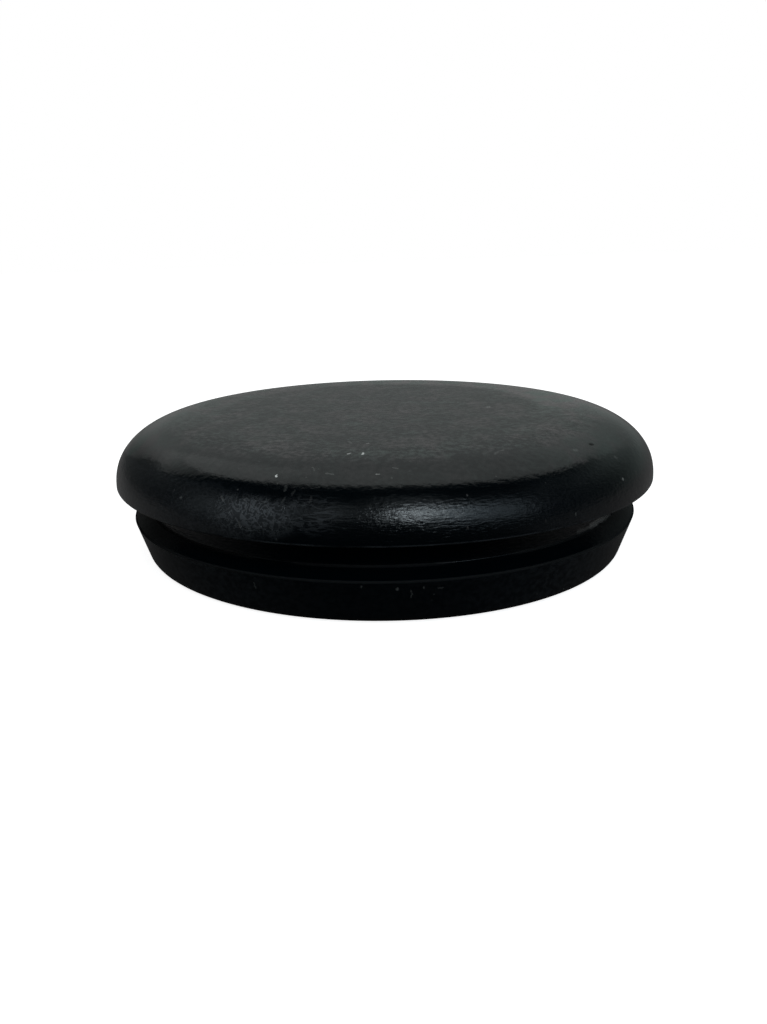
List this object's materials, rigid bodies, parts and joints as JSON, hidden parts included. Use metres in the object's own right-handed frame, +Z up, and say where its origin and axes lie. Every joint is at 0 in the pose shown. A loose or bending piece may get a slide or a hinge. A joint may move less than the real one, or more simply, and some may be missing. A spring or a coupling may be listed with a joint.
{
  "type": "blind rubber grommet",
  "caption": "Blind rubber grommet: a round closed plug with a soft-shouldered flange, a groove for the panel's edge and a tapered lip, to close a hole in sheet metal.",
  "frame": {"origin": "on the axis, in the plane of the rim that the grommet stands on", "axes": "+Z up along the axis, from the underside's rim to the flange's flat top; X and Y are any two diameters"},
  "size_m": [0.0508, 0.0508, 0.0127],
  "materials": {
    "black_rubber": "moulded black rubber with a dull bloom on the top and a soft satin side"
  },
  "bodies": {
    "root": {"grommet": "black_rubber"}
  },
  "joints": []
}
